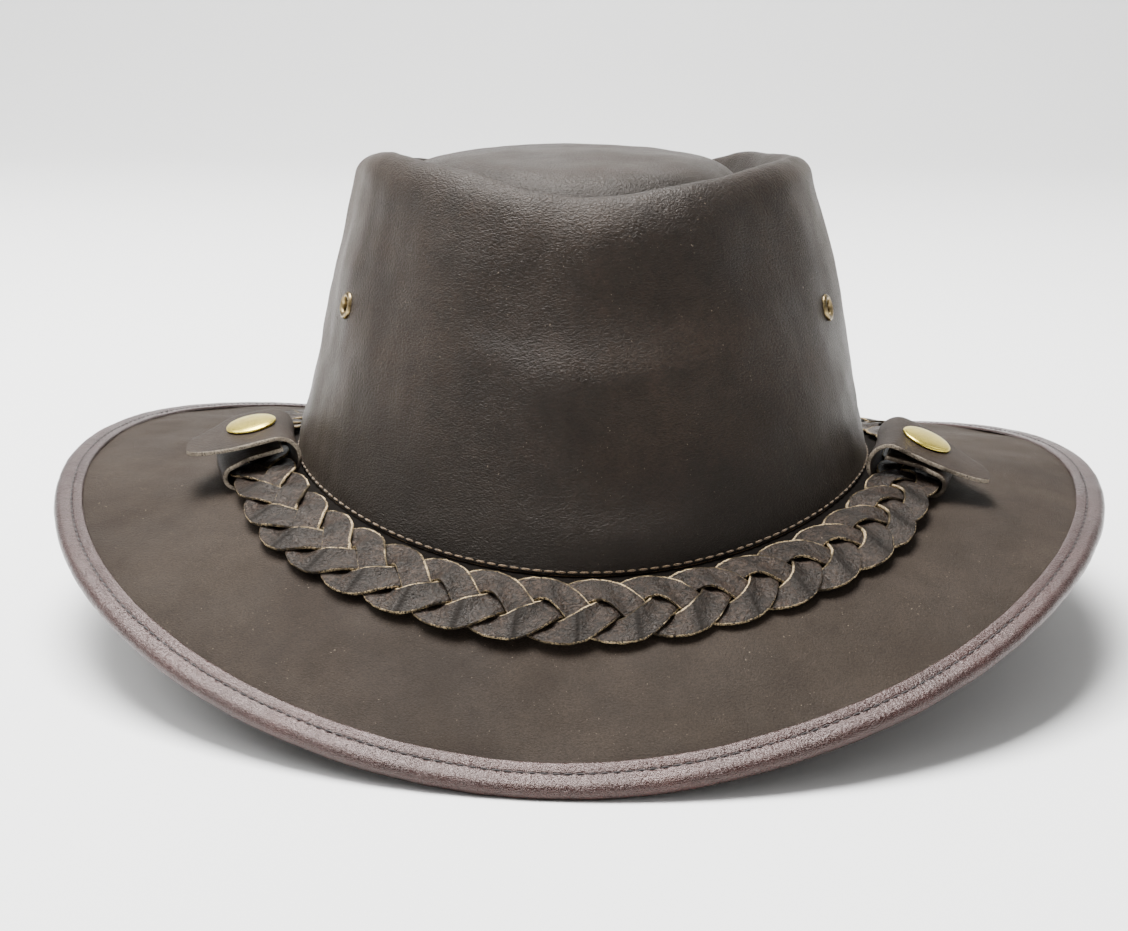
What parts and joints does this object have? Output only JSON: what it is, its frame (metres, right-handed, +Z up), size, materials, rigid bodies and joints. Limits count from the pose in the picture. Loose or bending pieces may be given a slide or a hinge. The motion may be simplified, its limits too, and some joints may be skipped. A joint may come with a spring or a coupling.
{
  "type": "leather cowboy hat",
  "caption": "Leather hat with a wide curved brim, a pinched pillow crown, a plaited band and snapped keepers.",
  "frame": {"origin": "middle of the hat's underside box, on the surface that it rests on", "axes": "+Z up, -Y towards the front of the hat, +X to the right in the picture"},
  "size_m": [0.3208, 0.3362, 0.1427],
  "materials": {
    "crown_leather": "matte oiled brown leather with a soft sheen and darker mottling",
    "brim_leather": "matte warm grey-brown leather with a fine grain",
    "binding_leather": "smooth red-brown leather, folded and stitched, slightly glossy",
    "plait_leather": "waxy dark brown strips with pale raw edges",
    "keeper_leather": "dark brown strap with pale cut edges",
    "snap_brass": "pale polished brass",
    "eyelet_brass": "antique brass"
  },
  "bodies": {
    "root": {"crown": "crown_leather", "brim": "brim_leather", "brim_binding": "binding_leather", "band_strand_1": "plait_leather", "band_strand_2": "plait_leather", "band_strand_3": "plait_leather", "keeper_left": "keeper_leather", "snap_cap_left": "snap_brass", "snap_stud_left": "snap_brass", "eyelet_left": "eyelet_brass", "keeper_right": "keeper_leather", "snap_cap_right": "snap_brass", "snap_stud_right": "snap_brass", "eyelet_right": "eyelet_brass"}
  },
  "joints": []
}
